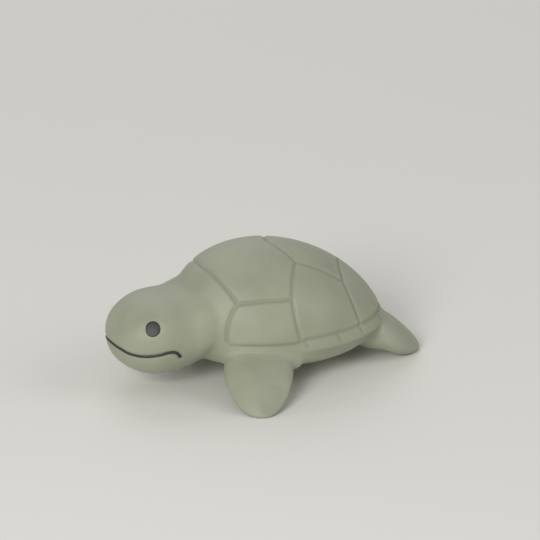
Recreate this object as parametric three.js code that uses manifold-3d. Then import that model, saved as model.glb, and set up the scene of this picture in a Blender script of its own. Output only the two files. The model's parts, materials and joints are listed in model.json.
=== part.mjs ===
// Turtle bath toy: a hollow skin of soft natural rubber, parted along its own creases into the shell, the
// belly, the head and four flippers, with a bonded belly plug and a painted face. Millimetres, +Z up. The
// head points along -Y and the turtle's left side is +X. It stands on its four flippers' soles, at z = 0.
import * as THREE from "three";
import { mergeVertices } from "three/addons/utils/BufferGeometryUtils.js";
import Module from "manifold-3d";

const wasm = await Module();
wasm.setup();

// Skin and fits
const WALL = 2.6; // rubber skin of the shell, belly and head
const CREASE_GAP = 0.35; // round a limb's root in its seat
const FIT_GAP = 0.3; // round a piece that is bonded or painted on

// Shell
const SHELL_LENGTH = 64;
const SHELL_WIDTH = 50;
const SHELL_RISE = 26.4; // from the rim's underside to the crown
const SHELL_LEAN = 0.32; // the crown leans forward by this much for each millimetre of rise
const RIM_HEIGHT = 12.6; // underside of the rim above the ground
const RIM_BAND = 2.6; // height of the plain band round the rim
const SEAM_WIDTH = 1.4; // moulded lines between the scutes

// Corners of the scutes on the left half, as spots of the shell's plan that run from -1 to 1 across and along
const SCUTE = {
  browMid: [0, -0.58],
  brow: [0.66, -0.5],
  browFoot: [0.68, -0.733],
  side: [0.77, -0.26],
  flank: [0.82, -0.01],
  flankFoot: [0.995, -0.1],
  crownMid: [0, 0.14],
  crown: [0.46, 0.235],
  loin: [0.56, 0.6],
  loinFoot: [0.82, 0.572],
  loinMid: [0, 0.77],
};

// Belly
const BELLY_INSET = 3; // belly wall inside the shell's rim
const BELLY_CLEARANCE = 4.6; // belly above the ground
const BELLY_CORNER = 5.5; // rounding from the belly up to its wall

// Plug in the casting hole of the belly
const PLUG_STEM = 7;
const PLUG_STEM_LENGTH = 5;
const PLUG_HEAD = 11;
const PLUG_HEAD_DEPTH = 1.2;

// Head
const HEAD_LENGTH = 20.5; // from the neck's hinge to the beak
const HEAD_BULGE = 0.04; // cheeks fuller than the neck, as a share
const HEAD_BLUNT = 2.4; // 2 is a plain ellipse, and more is blunter
const HEAD_SQUARE = 2.5; // section of the head, where 2 is an ellipse and more is boxier
const HEAD_TURN = 0.3; // share of the head's length where the neck's ellipse has become that section
const NECK_WIDTH = 30;
const NECK_HEIGHT = 23.5;
const NECK_LIFT = 3.4; // neck's hinge above the rim's underside
const EYE_DIAMETER = 4.6;
const EYE_DEPTH = 1.4;
const MOUTH_WIDTH = 1;

// Face, in places given as a share of the head's length and degrees above its left side
const EYE_REACH = 0.6;
const EYE_RISE = 34;
const MOUTH_SPOTS = [[0.25, -16], [0.33, -8], [0.42, -7], [0.55, -10], [0.72, -14], [0.88, -17], [0.97, -17]];

// Flippers
const FRONT_REACH = 17; // from the hinge at the rim to the tip
const FRONT_WIDTH = 20;
const FRONT_THICKNESS = 9.4;
const FRONT_DROP = 4.4; // hinge below the rim's underside
const FRONT_SWEEP = -0.3; // the tip curves this far towards the leading edge
const FRONT_BLUNT = 2.2;
const FRONT_HEADING = 25; // degrees forward of straight out
const HIND_REACH = 10.8;
const HIND_WIDTH = 15.5;
const HIND_THICKNESS = 9.8;
const HIND_DROP = 4.8;
const HIND_SWEEP = -3; // away from the leading edge
const HIND_BLUNT = 1.75;
const HIND_HEADING = -65; // degrees, swept back
const FLIPPER_FALL = 1.2; // 1 droops evenly to the tip, and more droops later
const TIP_RISE = 0.2; // centre of a tip above the ground, before its sole is cut flat

// Facets
const OVAL_SEGMENTS = 40;
const DOME_SEGMENTS = 10;
const CORNER_SEGMENTS = 4;
const LIMB_SEGMENTS = 20;
const LIMB_RING_SEGMENTS = 14;
const SEAM_SEGMENTS = 4;
const SEAM_STEP = 4; // length of a straight stretch of seam
const MOUTH_SEGMENTS = 30;
const WELD = 1e-4; // corners closer than this are one

const RUBBER = "#9aa58e";
const INK = "#2b2b28";

const shellHalfWidth = SHELL_WIDTH / 2;
const shellHalfLength = SHELL_LENGTH / 2;
const bellyHalfWidth = shellHalfWidth - BELLY_INSET;
const bellyHalfLength = shellHalfLength - BELLY_INSET;
const crownReach = Math.hypot(shellHalfLength, SHELL_LEAN * SHELL_RISE);

const up = new THREE.Vector3(0, 0, 1);
const turtle = new THREE.Group();

function solid(geometry) {
  const bare = geometry.clone();
  bare.deleteAttribute("normal");
  bare.deleteAttribute("uv");
  const welded = mergeVertices(bare, WELD);
  return new wasm.Manifold(
    new wasm.Mesh({
      numProp: 3,
      vertProperties: new Float32Array(welded.attributes.position.array),
      triVerts: new Uint32Array(welded.index.array),
    }),
  );
}

function piece(name, shape, colour, parent = turtle) {
  const faces = shape.getMesh();
  const geometry = new THREE.BufferGeometry();
  geometry.setAttribute("position", new THREE.BufferAttribute(new Float32Array(faces.vertProperties), 3));
  geometry.setIndex(new THREE.BufferAttribute(new Uint32Array(faces.triVerts), 1));
  geometry.computeVertexNormals();
  const finish = new THREE.MeshStandardMaterial({ color: colour, roughness: 0.6, metalness: 0 });
  const mesh = new THREE.Mesh(geometry, finish);
  mesh.name = name;
  parent.add(mesh);
}

function roundBar(path, width, steps) {
  const section = new THREE.Shape();
  section.absarc(0, 0, width / 2, 0, 2 * Math.PI);
  return solid(
    new THREE.ExtrudeGeometry(section, {
      steps,
      curveSegments: SEAM_SEGMENTS / 2,
      bevelEnabled: false,
      extrudePath: path,
    }),
  );
}

// A profile turned about the upright axis and drawn out to the shell's oval plan, leaning as it rises from
// the rim's underside. The profile's radius runs across the toy.
function ovalTurning(profile, stretch, lean) {
  const turned = new THREE.LatheGeometry(profile, OVAL_SEGMENTS);
  turned.rotateX(Math.PI / 2);
  const leaning = new THREE.Matrix4().set(1, 0, 0, 0, 0, stretch, -lean, 0, 0, 0, 1, RIM_HEIGHT, 0, 0, 0, 1);
  return solid(turned.applyMatrix4(leaning));
}

// The shell's surface at a spot of its plan, where across and along run from -1 to 1.
function shellPoint(across, along) {
  const rise = SHELL_RISE * Math.sqrt(Math.max(0, 1 - across * across - along * along));
  return new THREE.Vector3(
    shellHalfWidth * across,
    shellHalfLength * along - SHELL_LEAN * rise,
    RIM_HEIGHT + rise,
  );
}

// A limb pressed from one ball. The back half is a round root that turns in its seat about the local Y axis.
// The front half is drawn out along local X, swelling, sweeping and drooping on the way to its tip.
function limbPoint(limb, ball) {
  const reach = Math.max(ball.x, 0);
  const ring = Math.max(1e-6, Math.hypot(ball.y, ball.z));
  const square = 2 + (limb.square - 2) * Math.min(1, reach / HEAD_TURN);
  const corner = Math.abs(ball.y / ring) ** square + Math.abs(ball.z / ring) ** square;
  const fullness = Math.pow(Math.max(0, 1 - Math.pow(reach, limb.blunt)), 1 / limb.blunt);
  const bulge = 1 + limb.bulge * Math.sin(Math.PI * reach) ** 2;
  const swell = reach > 0 ? (fullness / ring) * bulge * Math.pow(corner, -1 / square) : 1;
  return new THREE.Vector3(
    ball.x * (ball.x < 0 ? limb.root : limb.reach),
    ball.y * limb.halfWidth * swell - limb.sweep * reach * reach,
    ball.z * limb.halfThickness * swell - limb.droop * Math.pow(reach, FLIPPER_FALL),
  );
}

function limbForm(limb) {
  const form = new THREE.SphereGeometry(1, LIMB_SEGMENTS, LIMB_RING_SEGMENTS).rotateZ(-Math.PI / 2);
  const spots = form.attributes.position;
  const ball = new THREE.Vector3();
  for (let i = 0; i < spots.count; i += 1) {
    spots.setXYZ(i, ...limbPoint(limb, ball.fromBufferAttribute(spots, i)));
  }
  return solid(form);
}

// The hollow that a limb's root turns in, in the toy's frame.
function rootSeat(limb, place) {
  const radius = limb.halfThickness + CREASE_GAP;
  const hollow = new THREE.SphereGeometry(1, LIMB_SEGMENTS, LIMB_RING_SEGMENTS).rotateZ(-Math.PI / 2);
  hollow.scale(radius, limb.halfWidth + CREASE_GAP, radius);
  return solid(hollow.applyMatrix4(place));
}

function limbPlace(at, heading) {
  return new THREE.Matrix4().makeRotationZ(-heading).setPosition(at);
}

// Where each limb is seated
const headLimb = {
  reach: HEAD_LENGTH,
  root: NECK_HEIGHT / 2,
  halfWidth: NECK_WIDTH / 2,
  halfThickness: NECK_HEIGHT / 2,
  bulge: HEAD_BULGE,
  blunt: HEAD_BLUNT,
  square: HEAD_SQUARE,
  sweep: 0,
  droop: 0,
};
const headAt = new THREE.Vector3(0, -crownReach, RIM_HEIGHT + NECK_LIFT);
const headHeading = Math.PI / 2;

function flipperLimb(reach, width, thickness, drop, blunt, sweep) {
  return {
    reach,
    root: thickness / 2,
    halfWidth: width / 2,
    halfThickness: thickness / 2,
    bulge: 0,
    blunt,
    square: 2,
    sweep,
    droop: RIM_HEIGHT - drop - TIP_RISE,
  };
}

// A flipper's hinge line just touches the oval of the rim from outside, square to the flipper's heading.
function rimSeat(name, limb, degrees, drop) {
  const heading = THREE.MathUtils.degToRad(degrees);
  const out = new THREE.Vector2(Math.cos(heading), -Math.sin(heading));
  const touch = new THREE.Vector2(shellHalfWidth ** 2 * out.x, shellHalfLength ** 2 * out.y);
  touch.divideScalar(Math.hypot(shellHalfWidth * out.x, shellHalfLength * out.y));
  return { name, limb, heading, at: new THREE.Vector3(touch.x, touch.y, RIM_HEIGHT - drop) };
}

const frontLimb = flipperLimb(
  FRONT_REACH,
  FRONT_WIDTH,
  FRONT_THICKNESS,
  FRONT_DROP,
  FRONT_BLUNT,
  FRONT_SWEEP,
);
const hindLimb = flipperLimb(HIND_REACH, HIND_WIDTH, HIND_THICKNESS, HIND_DROP, HIND_BLUNT, HIND_SWEEP);
const flippers = [
  rimSeat("front", frontLimb, FRONT_HEADING, FRONT_DROP),
  rimSeat("hind", hindLimb, HIND_HEADING, HIND_DROP),
];

function limbSeats() {
  const seats = [rootSeat(headLimb, limbPlace(headAt, headHeading))];
  for (const { limb, at, heading } of flippers) {
    const mirrored = new THREE.Vector3(-at.x, at.y, at.z);
    seats.push(rootSeat(limb, limbPlace(at, heading)));
    seats.push(rootSeat(limb, limbPlace(mirrored, -heading)));
  }
  return seats.reduce((all, seat) => all.add(seat));
}
const seats = limbSeats();

// Scute seams of the left half of the shell. The right half mirrors them.
const seams = [
  [SCUTE.browMid, SCUTE.brow],
  [SCUTE.brow, SCUTE.browFoot],
  [SCUTE.brow, SCUTE.side, SCUTE.flank],
  [SCUTE.flank, SCUTE.flankFoot],
  [SCUTE.flank, SCUTE.crown],
  [SCUTE.crown, SCUTE.crownMid],
  [SCUTE.crown, SCUTE.loin],
  [SCUTE.loin, SCUTE.loinFoot],
  [SCUTE.loin, SCUTE.loinMid],
];

function seamBar(corners, side) {
  const spots = corners.map(([across, along]) => new THREE.Vector2(side * across, along));
  const plan = new THREE.SplineCurve(spots);
  const [start, end] = [spots.at(0), spots.at(-1)].map((spot) => shellPoint(spot.x, spot.y));
  const steps = Math.max(3, Math.round(start.distanceTo(end) / SEAM_STEP));
  const route = plan.getPoints(steps).map((spot) => shellPoint(spot.x, spot.y));
  return roundBar(new THREE.CatmullRomCurve3(route), SEAM_WIDTH, steps);
}

function rimBar() {
  const ring = Math.sqrt(1 - (RIM_BAND / SHELL_RISE) ** 2);
  const steps = Math.round(OVAL_SEGMENTS / 2);
  const [left, right] = [-Math.PI / 2, Math.PI / 2].map((start) => {
    const arc = new THREE.EllipseCurve(0, 0, ring, ring, start, start + Math.PI);
    const route = arc.getPoints(steps).map((spot) => shellPoint(spot.x, spot.y));
    return roundBar(new THREE.CatmullRomCurve3(route), SEAM_WIDTH, steps);
  });
  return left.add(right);
}

// Shell: an oval dome of even skin, open below, notched round the neck and lined between its scutes.
function carapace() {
  const inner = new THREE.EllipseCurve(0, 0, shellHalfWidth - WALL, SHELL_RISE - WALL, 0, Math.PI / 2);
  const outer = new THREE.EllipseCurve(0, 0, shellHalfWidth, SHELL_RISE, 0, Math.PI / 2);
  const profile = [...inner.getPoints(DOME_SEGMENTS).reverse(), ...outer.getPoints(DOME_SEGMENTS)];
  profile[0].x = 0;
  profile[profile.length - 1].x = 0;
  let lines = rimBar();
  for (const corners of seams) {
    lines = lines.add(seamBar(corners, 1)).add(seamBar(corners, -1));
  }
  const dome = ovalTurning(profile, shellHalfLength / shellHalfWidth, SHELL_LEAN);
  piece("carapace", dome.subtract(lines).subtract(seats), RUBBER);
}

// Belly: a tray of the same skin under the rim, notched for the roots of the limbs, with the casting hole.
function plastron() {
  const foot = BELLY_CLEARANCE - RIM_HEIGHT;
  const flat = bellyHalfWidth - BELLY_CORNER;
  const turn = foot + BELLY_CORNER;
  const outer = new THREE.EllipseCurve(flat, turn, BELLY_CORNER, BELLY_CORNER, -Math.PI / 2, 0);
  const bend = BELLY_CORNER - WALL;
  const inner = new THREE.EllipseCurve(flat, turn, bend, bend, -Math.PI / 2, 0);
  const profile = [
    new THREE.Vector2(0, foot),
    ...outer.getPoints(CORNER_SEGMENTS),
    new THREE.Vector2(bellyHalfWidth, -FIT_GAP),
    new THREE.Vector2(bellyHalfWidth - WALL, -FIT_GAP),
    ...inner.getPoints(CORNER_SEGMENTS).reverse(),
    new THREE.Vector2(0, foot + WALL),
  ];
  const tray = ovalTurning(profile, bellyHalfLength / bellyHalfWidth, 0);
  piece("plastron", tray.subtract(seats).subtract(plugTurning(FIT_GAP)), RUBBER);
}

// Plug: a headed rubber stopper, bonded flush in the belly. Gap grows it into the hole that it fills.
function plugTurning(gap) {
  const head = PLUG_HEAD / 2 + gap;
  const stem = PLUG_STEM / 2 + gap;
  const shoulder = BELLY_CLEARANCE + PLUG_HEAD_DEPTH + gap;
  const profile = [
    new THREE.Vector2(0, BELLY_CLEARANCE - gap),
    new THREE.Vector2(head, BELLY_CLEARANCE - gap),
    new THREE.Vector2(head, shoulder),
    new THREE.Vector2(stem, shoulder),
    new THREE.Vector2(stem, BELLY_CLEARANCE + PLUG_STEM_LENGTH + gap),
    new THREE.Vector2(0, BELLY_CLEARANCE + PLUG_STEM_LENGTH + gap),
  ];
  return solid(new THREE.LatheGeometry(profile, LIMB_SEGMENTS).rotateX(Math.PI / 2));
}

function headSpot(reach, degrees) {
  const turn = THREE.MathUtils.degToRad(degrees);
  const ring = Math.sqrt(1 - reach * reach);
  return limbPoint(headLimb, new THREE.Vector3(reach, ring * Math.cos(turn), ring * Math.sin(turn)));
}

function headFacing(reach, degrees) {
  const small = 0.01;
  const ahead = headSpot(reach + small, degrees).sub(headSpot(reach - small, degrees));
  const around = headSpot(reach, degrees + 1).sub(headSpot(reach, degrees - 1));
  return ahead.cross(around).normalize();
}

// An eye is a flat dab of paint in a shallow round dish. Local +Y is the turtle's left side here.
function eyeDab(degrees, gap) {
  const dab = new THREE.SphereGeometry(1, LIMB_SEGMENTS, LIMB_RING_SEGMENTS / 2).rotateX(Math.PI / 2);
  const radius = EYE_DIAMETER / 2 + gap;
  dab.scale(radius, radius, EYE_DEPTH / 2 + gap);
  const facing = headFacing(EYE_REACH, degrees);
  dab.applyQuaternion(new THREE.Quaternion().setFromUnitVectors(up, facing));
  dab.translate(...headSpot(EYE_REACH, degrees));
  return solid(dab);
}

function mouthBar(width) {
  const left = MOUTH_SPOTS.map(([reach, degrees]) => headSpot(reach, degrees));
  const right = MOUTH_SPOTS.map(([reach, degrees]) => headSpot(reach, 180 - degrees)).reverse();
  return roundBar(new THREE.CatmullRomCurve3([...left, ...right]), width, MOUTH_SEGMENTS);
}

// Head: a hollow blunt form, open behind into the body, with the dishes of its eyes and its mouth's line.
function head() {
  const neck = new THREE.Group();
  neck.position.copy(headAt);
  neck.rotation.z = -headHeading;
  turtle.add(neck);
  const hollow = limbForm({
    ...headLimb,
    reach: HEAD_LENGTH - WALL,
    root: headLimb.root + WALL,
    halfWidth: headLimb.halfWidth - WALL,
    halfThickness: headLimb.halfThickness - WALL,
  });
  const eyes = { left_eye: EYE_RISE, right_eye: 180 - EYE_RISE };
  let skin = limbForm(headLimb).subtract(hollow).subtract(mouthBar(MOUTH_WIDTH + 2 * FIT_GAP));
  for (const [name, degrees] of Object.entries(eyes)) {
    skin = skin.subtract(eyeDab(degrees, FIT_GAP));
    piece(name, eyeDab(degrees, 0), INK, neck);
  }
  piece("head", skin, RUBBER, neck);
  piece("mouth_line", mouthBar(MOUTH_WIDTH), INK, neck);
}

// Flippers: solid paddles that droop to the ground, where the sole is cut flat. The right ones are mirrored.
function flipper({ name, limb, at, heading }) {
  const ground = new THREE.BoxGeometry(4 * limb.reach, 4 * limb.halfWidth, limb.halfThickness);
  ground.translate(0, 0, -at.z - limb.halfThickness / 2);
  const paddle = limbForm(limb).subtract(solid(ground));
  for (const [side, mirror] of [["left", 1], ["right", -1]]) {
    const half = new THREE.Group();
    half.scale.x = mirror;
    const shoulder = new THREE.Group();
    shoulder.position.copy(at);
    shoulder.rotation.z = -heading;
    half.add(shoulder);
    turtle.add(half);
    piece(`${name}_${side}_flipper`, paddle, RUBBER, shoulder);
  }
}

carapace();
plastron();
piece("belly_plug", plugTurning(0), RUBBER);
head();
flippers.forEach(flipper);

const span = new THREE.Box3().setFromObject(turtle, true);
turtle.position.y = -(span.min.y + span.max.y) / 2;

export default turtle;
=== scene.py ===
import json
import math

import bmesh
import bpy
import numpy as np
from mathutils import Matrix, Vector
from mathutils.bvhtree import BVHTree
from mathutils.kdtree import KDTree


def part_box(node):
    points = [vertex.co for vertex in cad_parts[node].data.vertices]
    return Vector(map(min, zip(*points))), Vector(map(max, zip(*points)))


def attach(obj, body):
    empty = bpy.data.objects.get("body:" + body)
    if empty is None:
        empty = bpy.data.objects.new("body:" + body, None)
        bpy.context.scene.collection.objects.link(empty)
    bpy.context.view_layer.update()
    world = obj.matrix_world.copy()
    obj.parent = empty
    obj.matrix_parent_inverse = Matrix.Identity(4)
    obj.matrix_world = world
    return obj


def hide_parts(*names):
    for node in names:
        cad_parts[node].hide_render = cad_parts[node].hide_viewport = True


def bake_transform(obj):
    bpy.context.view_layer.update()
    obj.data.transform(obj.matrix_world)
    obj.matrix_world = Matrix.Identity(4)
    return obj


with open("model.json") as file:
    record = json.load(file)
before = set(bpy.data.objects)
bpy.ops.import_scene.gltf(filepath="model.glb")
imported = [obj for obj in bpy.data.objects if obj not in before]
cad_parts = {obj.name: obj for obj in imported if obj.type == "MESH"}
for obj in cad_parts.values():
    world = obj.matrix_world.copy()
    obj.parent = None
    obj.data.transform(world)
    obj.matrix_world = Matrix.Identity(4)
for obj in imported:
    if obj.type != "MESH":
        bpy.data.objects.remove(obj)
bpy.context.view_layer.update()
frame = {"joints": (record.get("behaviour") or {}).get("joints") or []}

# Raw casting
# The toy's hollow skin is cast in natural rubber and leaves its mould in one piece. Its forms start here as
# balls of clay, as on the pattern that the mould is taken from: pressed to shape, sunk together and blended.
MM = 0.001
SHELL_LENGTH = 64 * MM
SHELL_LEAN = 0.32  # the crown leans forward by this much for each metre of rise
RIM_ROUND = 2 * MM  # depth of the shell's underside behind its rim
# The belly's wall in front and behind, and how boxy it is, where 2 is an ellipse and more is boxier
BELLY_INSETS = (0.7 * MM, 3 * MM)
BELLY_SQUARES = (2.6, 3.6)
BELLY_TURN = (-0.2, 0.5)  # shares of the half length between which the front's wall becomes the rear's

shell_low, shell_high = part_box("carapace")
belly_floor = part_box("plastron")[0].z
rim = shell_low.z
shell_rise = shell_high.z - rim
shell_middle = shell_high.y - SHELL_LENGTH / 2


def shell_spot(across, along):
    """The shell's surface over a spot of its plan, where across and along run from -1 to 1."""
    rise = shell_rise * math.sqrt(max(0, 1 - across**2 - along**2))
    behind = shell_middle + SHELL_LENGTH / 2 * along - SHELL_LEAN * rise
    return Vector((shell_high.x * across, behind, rim + rise))


def shell_form(ball):
    """The leaning dome, with a shallow round underside."""
    if ball.z > 0:
        return shell_spot(ball.x, ball.y)
    behind = shell_middle + SHELL_LENGTH / 2 * ball.y
    return Vector((shell_high.x * ball.x, behind, rim + RIM_ROUND * ball.z))


def ramp(value, ends):
    """The share of the way from one end to the other."""
    return min(1, max(0, (value - ends[0]) / (ends[1] - ends[0])))


def belly_form(ball):
    """The tray under the rim, which is boxier behind."""
    ring = math.hypot(ball.x, ball.y)
    rear = ramp(ball.y / ring, BELLY_TURN) if ring else 0
    inset, square = (ends[0] + (ends[1] - ends[0]) * rear for ends in (BELLY_INSETS, BELLY_SQUARES))
    spread = ring ** (2 / square - 1) if ring else 0
    depth = (rim - belly_floor) * abs(ball.z) ** (2 / square)
    return Vector((
        (shell_high.x - inset) * ball.x * spread,
        shell_middle + (SHELL_LENGTH / 2 - inset) * ball.y * spread,
        rim + math.copysign(depth, ball.z),
    ))


# Each limb grows along its local X from the hinge that its rubber bends on, by its reach in front and by its
# root behind, in mm. Local Y is the hinge's line and points away from the limb's leading edge. Sole shapes
# the lower half of its section, where 2 is an ellipse and more is boxier. The upper half goes from square at
# the root to ridge further out, where less than 2 is a soft roof. Blunt shapes the tip, bulge swells the
# middle, sweep carries the tip towards the leading edge, and drop carries it down, evenly where fall is 1.
# Lean tilts the ridge, lift raises the root behind the hinge, flare widens it, and keel deepens its lower
# half.
LIMB_SIZES = {
    "head": dict(
        reach=20.5, root=20, width=30, thickness=23.5, square=2.7, ridge=2.5, sole=2,
        bulge=0.04, blunt=2.4, sweep=0, drop=0, fall=1, lean=0, lift=7.5, flare=0.28, keel=-0.12,
    ),
    "front": dict(
        reach=17, root=10, width=20, thickness=9.4, square=2.7, ridge=1.4, sole=1.75,
        bulge=0, blunt=1.95, sweep=-0.9, drop=8, fall=1.2, lean=1.4, lift=0, flare=0, keel=0,
    ),
    "hind": dict(
        reach=10.8, root=11, width=15.5, thickness=9.8, square=3.4, ridge=2.1, sole=1.8,
        bulge=0.06, blunt=1.75, sweep=-4.5, drop=6.72, fall=1.1, lean=0, lift=0, flare=0, keel=0.1,
    ),
}
RIDGE_START = 0.5  # share of the reach
KEEL_FADE = 4  # power with which the keel runs out towards the tip
# A web of clay fills the corner behind each front flipper: its middle and half sizes, in the limb's axes.
WEB_MIDDLE, WEB_SIZE = Vector((-3.8, 9.2, 1.4)), Vector((2.6, 3.6, 2.8))
limbs = {}
for joint in frame["joints"]:
    hinge = Vector(joint["pos_m"])
    side = 1 if hinge.x >= 0 else -1
    back = -side * Vector(joint["axis"])
    out = side * Vector((back.y, -back.x, 0))
    limbs[joint["child"]] = {
        "size": LIMB_SIZES[joint["child"].split("_")[0]],
        "place": Matrix((out, back, (0, 0, 1))).transposed().to_4x4(),
        "hinge": hinge,
        "out": out,
    }
    limbs[joint["child"]]["place"].translation = hinge


def limb_form(limb, ball):
    """One limb, from its root inside the body to its tip, resting on the ground where it reaches it."""
    size = limb["size"]
    along = max(ball.z, 0)
    inside = max(-ball.z, 0)
    ring = math.hypot(ball.x, ball.y)
    corner, blunt = size["sole"], size["blunt"]
    if ball.y > 0:
        corner = size["square"] + (size["ridge"] - size["square"]) * min(1, along / RIDGE_START)
    swell = ring * (abs(ball.x) ** corner + abs(ball.y) ** corner) ** (-1 / corner) if ring else 1
    if ring and along:
        swell *= max(0, 1 - along**blunt) ** (1 / blunt) / ring
        swell *= 1 + size["bulge"] * math.sin(math.pi * along) ** 2
    height = ball.y * swell * (1 if ball.y > 0 else 1 + size["keel"] * (1 - along) ** KEEL_FADE)
    lean = size["lean"] * max(0, height) * min(1, along / RIDGE_START)
    spot = limb["place"] @ (MM * Vector((
        along * size["reach"] - inside * size["root"],
        ball.x * swell * (1 + size["flare"] * inside) * size["width"] / 2 - size["sweep"] * along**2 - lean,
        height * size["thickness"] / 2 - size["drop"] * along ** size["fall"] + size["lift"] * inside,
    )))
    return Vector((spot.x, spot.y, max(0, spot.z)))


BALL_ROUND, BALL_RISE = 96, 64  # segments round a ball of clay, and from pole to pole


def press(clay, form):
    """Adds one ball of clay and presses it into a form."""
    ball = bmesh.ops.create_uvsphere(clay, u_segments=BALL_ROUND, v_segments=BALL_RISE, radius=1)
    for vert in ball["verts"]:
        vert.co = form(vert.co)


def settled(helper):
    """The mesh that a helper object's modifiers or curve make. The helper is used up."""
    bpy.context.scene.collection.objects.link(helper)
    evaluated = helper.evaluated_get(bpy.context.evaluated_depsgraph_get())
    mesh = bpy.data.meshes.new_from_object(evaluated)
    bpy.data.objects.remove(helper)
    return mesh


CLAY_GRAIN = 0.385 * MM  # spacing of the blended skin's vertices
clay = bmesh.new()
press(clay, shell_form)
press(clay, belly_form)
for name, limb in limbs.items():
    press(clay, lambda ball: limb_form(limb, ball))
    if name.startswith("front"):
        press(clay, lambda ball: limb["place"] @ (MM * (WEB_MIDDLE + WEB_SIZE * ball)))
bmesh.ops.recalc_face_normals(clay, faces=clay.faces)
lumps = bpy.data.objects.new("lumps", bpy.data.meshes.new("lumps"))
clay.to_mesh(lumps.data)
clay.free()
blending = lumps.modifiers.new("blending", "REMESH")
blending.mode = "VOXEL"
blending.voxel_size = CLAY_GRAIN
casting_mesh = settled(lumps)


def ease(mesh, steps, fill=None):
    """Moves each vertex by these steps towards the mean of its neighbours. With fill, which gives each spot's
    share, only the hollows move, and outwards."""
    count = len(mesh.vertices)
    ends = np.empty(2 * len(mesh.edges), np.int32)
    mesh.edges.foreach_get("vertices", ends)
    first, second = ends[0::2], ends[1::2]
    neighbours = np.bincount(ends, minlength=count)
    flat = np.empty(3 * count)
    mesh.vertices.foreach_get("co", flat)
    spots = flat.reshape(-1, 3).T.copy()
    mesh.vertex_normals.foreach_get("vector", flat)
    outward = flat.reshape(-1, 3).T.copy()
    for step in steps:
        sums = np.array([
            np.bincount(first, at[second], count) + np.bincount(second, at[first], count) for at in spots
        ])
        pull = sums / neighbours - spots
        if fill is not None:
            pull *= fill(spots) * ((pull * outward).sum(0) > 0)
        spots += step * pull
        spots[2] = np.maximum(0, spots[2])
    mesh.vertices.foreach_set("co", spots.T.ravel())
    mesh.update()


# Shares of the filling: round the neck and under the chin, round the front flippers, and under the rim behind
NECK_FILL, FLIPPER_FILL, REAR_FILL = 0.2, 1, 0.8
NECK_SIDE, CHIN_SIDE = 16.5 * MM, 10 * MM
RIM_EDGE = 1 * MM  # the filling runs out this far above the rim's underside, and the band stays as it is
FILLET_STEPS, FILLET_ROUNDS = [0.5] * 5, 75
POLISH_STEPS = [0.5, -0.53] * 24  # in, and out again so that nothing shrinks


def filling(spots):
    """How much each spot of the skin is filled."""
    beside, ahead = np.abs(spots[0]), spots[1] < shell_middle
    under = np.clip((rim + RIM_EDGE - spots[2]) / (2 * RIM_EDGE), 0, 1)
    lower = np.where(ahead, np.where(beside < CHIN_SIDE, NECK_FILL, FLIPPER_FILL), REAR_FILL)
    upper = np.where(ahead & (beside < NECK_SIDE), NECK_FILL, 0)
    return under * lower + (1 - under) * upper


ease(casting_mesh, POLISH_STEPS)
for _ in range(FILLET_ROUNDS):
    ease(casting_mesh, FILLET_STEPS, fill=filling)
ease(casting_mesh, POLISH_STEPS)

# The skin is parted at the roots of the limbs and under the shell's rim, where the toy's creases are. Each
# vertex keeps the whole skin's normal, so that no parting shows.
PARTING = 0.6 * MM  # how far in front of its hinge a limb is parted
LIMB_ROOM = 0.62 * MM  # to each side of a limb's middle, for each mm of its width
CUT_TOLERANCE = 1e-7
SHELL, BELLY = 1, 2
casting = bmesh.new()
casting.from_mesh(casting_mesh)
mark = casting.faces.layers.int.new("mark")


def part(faces, spot, facing):
    """Cuts new edges into some faces of the skin, along a plane."""
    edges = {edge for face in faces for edge in face.edges}
    verts = {vert for face in faces for vert in face.verts}
    bmesh.ops.bisect_plane(
        casting, geom=[*faces, *edges, *verts], dist=CUT_TOLERANCE, plane_co=spot, plane_no=facing
    )


def beyond(limb, face, depth):
    """Whether a face belongs to a limb and lies further out than this depth."""
    spot = limb["to_limb"] @ face.calc_center_median()
    return spot.x > depth and abs(spot.y) < LIMB_ROOM * limb["size"]["width"]


for number, limb in enumerate(limbs.values(), BELLY + 1):
    limb["mark"] = number
    limb["to_limb"] = limb["place"].inverted()
    limb_faces = [face for face in casting.faces if beyond(limb, face, 0)]
    part(limb_faces, limb["hinge"] + PARTING * limb["out"], limb["out"])
    for face in casting.faces:
        if beyond(limb, face, PARTING):
            face[mark] = number
part([face for face in casting.faces if face[mark] == 0], Vector((0, 0, rim)), Vector((0, 0, 1)))
for face in casting.faces:
    if face[mark] == 0:
        face[mark] = SHELL if face.calc_center_median().z > rim else BELLY
casting.normal_update()
whole_normal = casting.verts.layers.float_vector.new("whole_normal")
parting = casting.verts.layers.float.new("parting")
for vert in casting.verts:
    vert[whole_normal] = vert.normal
    vert[parting] = len({face[mark] for face in vert.link_faces}) > 1

# Shell
# The domed top of the casting, with the soft grooves that the mould gives it between its scutes, a plain band
# round the rim and short notches in the band. Its skin is as thick as the rest of the toy's.
SKIN_WALL = 2 * MM
SEAM_DEPTH, SEAM_WIDTH = 0.55 * MM, 0.6 * MM
SEAM_SPOTS, NOTCH_SPOTS, RIM_SPOTS = 160, 40, 1280  # along one seam, along one notch and round the rim
GROOVE_END = 0.01  # share of its depth at which a groove stops
SCUTE = {
    "brow_mid": (0, -0.58),
    "brow": (0.66, -0.5),
    "brow_foot": (0.675, -0.727),
    "side": (0.77, -0.26),
    "flank": (0.82, -0.01),
    "flank_foot": (0.985, -0.1),
    "crown_mid": (0, 0.14),
    "crown": (0.46, 0.235),
    "loin": (0.56, 0.6),
    "loin_foot": (0.813, 0.567),
    "loin_mid": (0, 0.77),
}
SEAMS = [
    ("brow_mid", "brow"),
    ("brow", "brow_foot"),
    ("brow", "side", "flank"),
    ("flank", "flank_foot"),
    ("flank", "crown"),
    ("crown", "crown_mid"),
    ("crown", "loin"),
    ("loin", "loin_foot"),
    ("loin", "loin_mid"),
]
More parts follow.
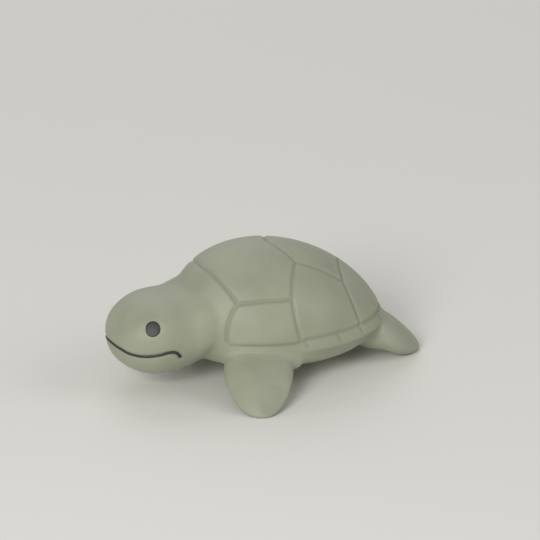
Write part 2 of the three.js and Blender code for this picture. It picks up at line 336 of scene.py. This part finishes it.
RIM_BANDS = (2.6 * MM, 3.5 * MM)  # height of the band in front of its first notch, and behind
BAND_STEP = (-0.16, -0.02)  # along the plan, where the band grows higher
RIM_FADE = (-0.8, -0.6)  # along the plan, where the rim's groove runs out towards the neck
NOTCH_TURNS = [-3, 17, 34, 58, 90]  # degrees behind straight left, round the rim
NOTCH_DEPTH = 0.45 * MM
NOTCH_FADE = 1.5  # a notch's depth grows this much faster than its height, from the rim's edge up

# Natural rubber, coloured right through and cast against plaster: a soft, slightly powdery matte skin with a
# wide dull highlight. The colour drifts a little, and the grooves are painted darker as painted shade.
RUBBER_PALE, RUBBER_DEEP, RUBBER_GROOVE_SHADE = "#9da18c", "#929681", "#80856f"
DRIFT_SIZE = 11 * MM  # patches of slightly different colour
DRIFT_RANGE = {"From Min": 0.3, "From Max": 0.7}  # of the noise, from the deep colour to the pale one
RUBBER_DULLNESS = {"To Min": 0.5, "To Max": 0.6}  # roughness over the same range
GROOVE_SHADE_SHARE = 0.45  # share of the painted groove shade's colour, in the middle of a groove
GRAIN_SIZE = 0.7 * MM  # plaster grain, drawn coarser than the real 0.2 mm so that it shows
GRAIN_RELIEF, GRAIN_STRENGTH = 0.05 * MM, 0.25
RUBBER_IOR = 1.52
RUBBER_SHEEN, SHEEN_ROUGHNESS = 0.1, 0.5


def linear(colour):
    """An sRGB hex colour as the linear RGBA that Blender's sockets take."""
    shares = [int(colour[i : i + 2], 16) / 255 for i in (1, 3, 5)]
    return (*[s / 12.92 if s <= 0.04045 else ((s + 0.055) / 1.055) ** 2.4 for s in shares], 1)


def add(finish, kind, links, **settings):
    """Adds a node with its settings, and links or sets its inputs."""
    node = finish.node_tree.nodes.new(kind)
    for name, value in settings.items():
        setattr(node, name, value)
    for name, value in links.items():
        if isinstance(value, bpy.types.NodeSocket):
            finish.node_tree.links.new(value, node.inputs[name])
        else:
            node.inputs[name].default_value = value
    return node.outputs


sage_rubber = bpy.data.materials.new("sage_natural_rubber")
sage_rubber.use_nodes = True
rubber_shader = sage_rubber.node_tree.nodes["Principled BSDF"]
rubber_spot = add(sage_rubber, "ShaderNodeTexCoord", {})["Object"]
drift = add(
    sage_rubber,
    "ShaderNodeTexNoise",
    {"Vector": rubber_spot, "Scale": 1 / DRIFT_SIZE, "Detail": 3.0},
)["Fac"]
patches = add(sage_rubber, "ShaderNodeMapRange", {"Value": drift, **DRIFT_RANGE})["Result"]
# A Mix node's colours are its inputs 6 and 7 and its output 2.
body_colour = add(
    sage_rubber,
    "ShaderNodeMix",
    {"Factor": patches, 6: linear(RUBBER_DEEP), 7: linear(RUBBER_PALE)},
    data_type="RGBA",
)[2]
# Painted shade: each groove's colour is mixed towards a darker one, by the share that carve leaves on the
# skin.
groove = add(sage_rubber, "ShaderNodeAttribute", {}, attribute_name="groove_shade")["Fac"]
groove_shade_share = add(sage_rubber, "ShaderNodeMapRange", {"Value": groove, "To Max": GROOVE_SHADE_SHARE})["Result"]
groove_shaded_colour = add(
    sage_rubber,
    "ShaderNodeMix",
    {"Factor": groove_shade_share, 6: body_colour, 7: linear(RUBBER_GROOVE_SHADE)},
    data_type="RGBA",
)[2]
dullness = add(
    sage_rubber,
    "ShaderNodeMapRange",
    {"Value": drift, **DRIFT_RANGE, **RUBBER_DULLNESS},
)["Result"]
grain = add(
    sage_rubber,
    "ShaderNodeTexNoise",
    {"Vector": rubber_spot, "Scale": 1 / GRAIN_SIZE, "Detail": 2.0},
)["Fac"]
skin_bump = add(
    sage_rubber,
    "ShaderNodeBump",
    {"Height": grain, "Strength": GRAIN_STRENGTH, "Distance": GRAIN_RELIEF},
)["Normal"]
for socket, source in {"Base Color": groove_shaded_colour, "Roughness": dullness, "Normal": skin_bump}.items():
    sage_rubber.node_tree.links.new(source, rubber_shader.inputs[socket])
rubber_shader.inputs["IOR"].default_value = RUBBER_IOR
rubber_shader.inputs["Sheen Weight"].default_value = RUBBER_SHEEN
rubber_shader.inputs["Sheen Roughness"].default_value = SHEEN_ROUGHNESS


def parted(number):
    """One piece of the skin, as a bmesh of its own."""
    skin = casting.copy()
    layer = skin.faces.layers.int["mark"]
    bmesh.ops.delete(skin, geom=[face for face in skin.faces if face[layer] != number], context="FACES")
    skin.normal_update()
    return skin


def carve(skin, spots, depth, width):
    """Presses a soft groove into a skin along (spot, share of the depth) pairs, and marks it for painted
    shade.
    """
    groove_shade = skin.verts.layers.float.get("groove_shade") or skin.verts.layers.float.new("groove_shade")
    tree = KDTree(len(spots))
    for index, (spot, share) in enumerate(spots):
        tree.insert(spot, index)
    tree.balance()
    skin.normal_update()
    for vert in skin.verts:
        _, index, gap = tree.find(vert.co)
        amount = spots[index][1] * math.exp(-((gap / width) ** 2))
        if amount > GROOVE_END:
            vert.co -= float(depth * amount) * vert.normal
            # The share kept here darkens the groove's colour in the rubber's material, as painted shade.
            vert[groove_shade] = max(vert[groove_shade], amount)


def piece(skin, name, finish, wall=0):
    """A finished object from a bmesh, with a wall on its inside and the whole skin's normals at partings."""
    mesh = bpy.data.meshes.new(name)
    skin.to_mesh(mesh)
    skin.free()
    if wall:
        sheet = bpy.data.objects.new("sheet", mesh)
        thickening = sheet.modifiers.new("thickening", "SOLIDIFY")
        thickening.thickness = wall
        thickening.offset = -1
        mesh = settled(sheet)
        mesh.name = name
    mesh.shade_smooth()
    mesh.materials.append(finish)
    if "parting" in mesh.attributes:
        count = len(mesh.vertices)
        own, whole, at_parting = np.empty(3 * count), np.empty(3 * count), np.empty(count)
        mesh.vertex_normals.foreach_get("vector", own)
        mesh.attributes["whole_normal"].data.foreach_get("vector", whole)
        mesh.attributes["parting"].data.foreach_get("value", at_parting)
        normals = np.where(at_parting[:, None] > 0.5, whole.reshape(-1, 3), own.reshape(-1, 3))
        mesh.normals_split_custom_set_from_vertices(normals.tolist())
        for unused in ("parting", "whole_normal"):
            mesh.attributes.remove(mesh.attributes[unused])
    made = bpy.data.objects.new(name, mesh)
    bpy.context.scene.collection.objects.link(made)
    return made


scute_spots = []
shares = np.linspace(0, 1, SEAM_SPOTS)
for names in SEAMS:
    corners = np.array([SCUTE[name] for name in names])
    knots = np.linspace(0, 1, len(corners))
    curves = [np.polyfit(knots, corners[:, k], len(corners) - 1) for k in (0, 1)]
    across, along = (np.polyval(curve, shares) for curve in curves)
    for side in (1, -1):
        scute_spots += [(shell_spot(side * x, y), 1) for x, y in zip(across, along)]


def band_spot(turn, share):
    """A spot of the rim's band, at a turn from straight left and a share of the band's height."""
    front, rear = RIM_BANDS
    rise = share * (front + (rear - front) * ramp(math.sin(turn), BAND_STEP)) / shell_rise
    ring = math.sqrt(1 - rise**2)
    return shell_spot(ring * math.cos(turn), ring * math.sin(turn))


for turn in np.linspace(0, 2 * math.pi, RIM_SPOTS):
    scute_spots.append((band_spot(turn, 1), ramp(math.sin(turn), RIM_FADE)))

notch_spots = []
for degrees in NOTCH_TURNS:
    for turn in (math.radians(degrees), math.radians(180 - degrees)):
        for share in np.linspace(0, 1, NOTCH_SPOTS):
            notch_spots.append((band_spot(turn, share), min(1, NOTCH_FADE * share)))

shell_skin = parted(SHELL)
carve(shell_skin, scute_spots, SEAM_DEPTH, SEAM_WIDTH)
carve(shell_skin, notch_spots, NOTCH_DEPTH, SEAM_WIDTH)
shell = piece(shell_skin, "shell", sage_rubber, SKIN_WALL)
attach(shell, "body")
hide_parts("carapace")

# Belly
# The smooth underside of the casting, between the limbs. It is the same rubber skin, and runs on into the
# shell and the limbs without a joint. A round dish in it takes the head of the stopper.
PLUG_GAP = 0.3 * MM
PLUG_DISH = 1.2 * MM
plug_low, plug_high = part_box("belly_plug")
plug_middle = (plug_low + plug_high) / 2
plug_radius = (plug_high.x - plug_low.x) / 2
dish_radius = plug_radius + PLUG_GAP

belly_skin = parted(BELLY)
for vert in belly_skin.verts:
    from_middle = vert.co.xy - plug_middle.xy
    if from_middle.length < dish_radius - CLAY_GRAIN / 2:
        vert.co.z += PLUG_DISH
    elif from_middle.length < dish_radius + CLAY_GRAIN / 2:
        vert.co.xy = plug_middle.xy + dish_radius * from_middle.normalized()
belly = piece(belly_skin, "belly", sage_rubber, SKIN_WALL)
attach(belly, "body")
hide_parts("plastron")

# Belly stopper
# A small headed stopper of the same rubber, bonded flush into the casting hole once the skin is out of the
# mould, so that no water gets in. Only the round face of its head shows.
STOPPER_EDGE = 0.3 * MM
STOPPER_SEGMENTS, EDGE_SEGMENTS = 64, 3
SHARP_ANGLE = 1  # radians, past which an edge is rounded
stopper_form = bmesh.new()
bmesh.ops.create_cone(
    stopper_form,
    cap_ends=True,
    segments=STOPPER_SEGMENTS,
    radius1=plug_radius,
    radius2=plug_radius,
    depth=PLUG_DISH,
)
bmesh.ops.bevel(
    stopper_form,
    geom=[edge for edge in stopper_form.edges if edge.calc_face_angle(0) > SHARP_ANGLE],
    offset=STOPPER_EDGE,
    affect="EDGES",
    segments=EDGE_SEGMENTS,
    profile=0.5,
    material=-1,
)
face_height = plug_low.z + PLUG_DISH / 2
bmesh.ops.translate(stopper_form, vec=(plug_middle.x, plug_middle.y, face_height), verts=stopper_form.verts)
stopper = piece(stopper_form, "belly_stopper", sage_rubber)
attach(stopper, "body")
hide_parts("belly_plug")


def cap(skin):
    """Closes a limb's open root, inside the body."""
    bmesh.ops.edgeloop_fill(skin, edges=[edge for edge in skin.edges if edge.is_boundary])


for name, limb in limbs.items():
    if name == "head":
        continue
    flipper_skin = parted(limb["mark"])
    cap(flipper_skin)
    flipper = piece(flipper_skin, name + "_skin", sage_rubber)
    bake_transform(flipper)
    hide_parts(name)

# Head
# The front of the casting: a blunt head on a thick neck, with a shallow dish for each eye and a moulded line
# for the mouth.
MOUTH_DEPTH, MOUTH_SOFTNESS = 0.4 * MM, 0.7 * MM
EYE_DISH, EYE_SOFTNESS = 0.5 * MM, 2.6 * MM
# Left half of the mouth, as shares of the head's reach and degrees above its side
MOUTH_SPOTS = [
    (0.23, -15), (0.305, -6.2), (0.39, -4.5), (0.55, -8.5), (0.72, -13.5), (0.88, -17), (0.97, -17),
]
MOUTH_STEPS = 12  # from each of these spots to the next

head_limb = limbs["head"]
head_skin = parted(head_limb["mark"])


def head_spot(reach, degrees):
    """A spot of the head, at a share of its reach and a turn above its left side."""
    turn = math.radians(degrees)
    ring = math.sqrt(1 - reach**2)
    return limb_form(head_limb, Vector((ring * math.cos(turn), ring * math.sin(turn), reach)))


half_mouth = [head_spot(reach, degrees) for reach, degrees in MOUTH_SPOTS]
mouth_corners = half_mouth + [Vector((-spot.x, spot.y, spot.z)) for spot in reversed(half_mouth)]
mouth_path = bpy.data.curves.new("mouth_path", "CURVE")
mouth_path.dimensions = "3D"
mouth_route = mouth_path.splines.new("BEZIER")
mouth_route.bezier_points.add(len(mouth_corners) - 1)
mouth_route.resolution_u = MOUTH_STEPS
for point, spot in zip(mouth_route.bezier_points, mouth_corners):
    point.co = spot
    point.handle_left_type = point.handle_right_type = "AUTO"
route_mesh = settled(bpy.data.objects.new("mouth_path", mouth_path))
route = [vert.co.copy() for vert in route_mesh.vertices]

surface = BVHTree.FromBMesh(head_skin)
eyes = {}
for name in ("left_eye", "right_eye"):
    low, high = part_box(name)
    eyes[name] = surface.find_nearest((low + high) / 2)[:2]
mouth = [surface.find_nearest(spot)[:2] for spot in route]
carve(head_skin, [(spot, 1) for spot, facing in mouth], MOUTH_DEPTH, MOUTH_SOFTNESS)
carve(head_skin, [(spot, 1) for spot, facing in eyes.values()], EYE_DISH, EYE_SOFTNESS)
cap(head_skin)
head = piece(head_skin, "head_skin", sage_rubber)
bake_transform(head)
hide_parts("head")
casting.free()

# Painted face
# Two round dots and one line of dark rubber paint, put on by hand after casting. The paint dries to a thin
# satin film that is a little thicker in the middle of each mark.
INK_DEEP, INK_WORN = "#26261f", "#3a3a32"
BRUSH_SIZE = 1.5 * MM
PAINT_DULLNESS = {"To Min": 0.4, "To Max": 0.6}  # roughness
PAINT_IOR = 1.5
EYE_DIAMETER, EYE_PROUD = 4.6 * MM, 0.32 * MM
EYE_ROUND, EYE_RISE = 48, 24  # segments round the eye, and from pole to pole
MOUTH_LINE, MOUTH_SUNK = 0.55 * MM, 0.5 * MM
LINE_RESOLUTION = 3  # of the line's round section

dark_paint = bpy.data.materials.new("dark_rubber_paint")
dark_paint.use_nodes = True
paint_shader = dark_paint.node_tree.nodes["Principled BSDF"]
paint_spot = add(dark_paint, "ShaderNodeTexCoord", {})["Object"]
strokes = add(
    dark_paint,
    "ShaderNodeTexNoise",
    {"Vector": paint_spot, "Scale": 1 / BRUSH_SIZE, "Detail": 4.0},
)["Fac"]
paint_colour = add(
    dark_paint,
    "ShaderNodeMix",
    {"Factor": strokes, 6: linear(INK_DEEP), 7: linear(INK_WORN)},
    data_type="RGBA",
)[2]
paint_gloss = add(dark_paint, "ShaderNodeMapRange", {"Value": strokes, **PAINT_DULLNESS})["Result"]
dark_paint.node_tree.links.new(paint_colour, paint_shader.inputs["Base Color"])
dark_paint.node_tree.links.new(paint_gloss, paint_shader.inputs["Roughness"])
paint_shader.inputs["IOR"].default_value = PAINT_IOR

for name, (spot, facing) in eyes.items():
    dab = bmesh.new()
    bmesh.ops.create_uvsphere(dab, u_segments=EYE_ROUND, v_segments=EYE_RISE, radius=EYE_DIAMETER / 2)
    bmesh.ops.scale(dab, vec=(1, 1, EYE_PROUD / EYE_DIAMETER * 2), verts=dab.verts)
    turn = facing.to_track_quat("Z", "Y").to_matrix().to_4x4()
    middle = spot - EYE_DISH * facing
    bmesh.ops.transform(dab, matrix=Matrix.Translation(middle) @ turn, verts=dab.verts)
    eye = piece(dab, name + "_paint", dark_paint)
    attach(eye, "head")
    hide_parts(name)

line = bpy.data.curves.new("mouth_paint", "CURVE")
line.dimensions = "3D"
line.bevel_depth = MOUTH_LINE
line.bevel_resolution = LINE_RESOLUTION
line.use_fill_caps = True
stroke = line.splines.new("POLY")
stroke.points.add(len(mouth) - 1)
for point, (spot, facing) in zip(stroke.points, mouth):
    point.co = (*(spot - MOUTH_SUNK * facing), 1)
line_form = bmesh.new()
line_form.from_mesh(settled(bpy.data.objects.new("mouth_line", line)))
mouth_paint = piece(line_form, "mouth_paint", dark_paint)
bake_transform(mouth_paint)
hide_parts("mouth_line")

# Stage
# A wide, pale, matte floor for the toy to stand on, a large soft light beside the camera, weaker ones behind
# the toy and on its far side, and an even pale room round it all.
FLOOR_SIZE = 6  # metres across
FLOOR_COLOUR, FLOOR_ROUGHNESS = "#e9e7e2", 0.9
ROOM_COLOUR, ROOM_STRENGTH = "#f2f1ee", 0.4
# Place and size of each soft light in metres, and its power in watts
SOFT_LIGHTS = {
    "key_light": ((0.75, -0.75, 0.55), 0.4, 8),
    "fill_light": ((0.6, 0.9, 0.7), 0.8, 2.5),
    "back_light": ((-0.9, 0.2, 0.8), 0.8, 3),
}
floor_form = bmesh.new()
bmesh.ops.create_grid(floor_form, x_segments=1, y_segments=1, size=FLOOR_SIZE / 2)
floor_finish = bpy.data.materials.new("pale_floor")
floor_finish.use_nodes = True
floor_shader = floor_finish.node_tree.nodes["Principled BSDF"]
floor_shader.inputs["Base Color"].default_value = linear(FLOOR_COLOUR)
floor_shader.inputs["Roughness"].default_value = FLOOR_ROUGHNESS
floor = piece(floor_form, "floor", floor_finish)

room = bpy.data.worlds.new("pale_room")
room.use_nodes = True
room.node_tree.nodes["Background"].inputs["Color"].default_value = linear(ROOM_COLOUR)
room.node_tree.nodes["Background"].inputs["Strength"].default_value = ROOM_STRENGTH
bpy.context.scene.world = room

for name, (spot, size, power) in SOFT_LIGHTS.items():
    lamp = bpy.data.lights.new(name, "AREA")
    lamp.size = size
    lamp.energy = power
    holder = bpy.data.objects.new(name, lamp)
    holder.location = spot
    holder.rotation_euler = (-Vector(spot)).to_track_quat("-Z", "Y").to_euler()
    bpy.context.scene.collection.objects.link(holder)

# Camera
# The photograph's own view: a long lens, 25 degrees from the toy's left side towards its head, 21 degrees up.
# Sizes in pixels are those of the photograph, which is square.
PHOTO_SIZE = 540
FOCAL_PIXELS = 4393
ORIGIN_PIXEL = (259.35, 364.74)  # where the toy's origin lies in the photograph
DISTANCE = 1.29  # metres
TURN, TILT = math.radians(25), math.radians(21)
CLIP_RANGE = (0.05, 20)
right = Vector((math.sin(TURN), math.cos(TURN), 0))
back = Vector((math.cos(TURN) * math.cos(TILT), -math.sin(TURN) * math.cos(TILT), math.sin(TILT)))
above = back.cross(right)
aim = (PHOTO_SIZE / 2 - ORIGIN_PIXEL[0]) * right + (ORIGIN_PIXEL[1] - PHOTO_SIZE / 2) * above
lens = bpy.data.cameras.new("camera")
lens.sensor_width = 36
lens.lens = lens.sensor_width * FOCAL_PIXELS / PHOTO_SIZE
lens.clip_start, lens.clip_end = CLIP_RANGE
camera = bpy.data.objects.new("camera", lens)
camera.location = aim * (DISTANCE / FOCAL_PIXELS) + back * DISTANCE
camera.rotation_euler = back.to_track_quat("Z", "Y").to_euler()
bpy.context.scene.collection.objects.link(camera)
bpy.context.scene.camera = camera
bpy.context.scene.view_settings.view_transform = "Standard"
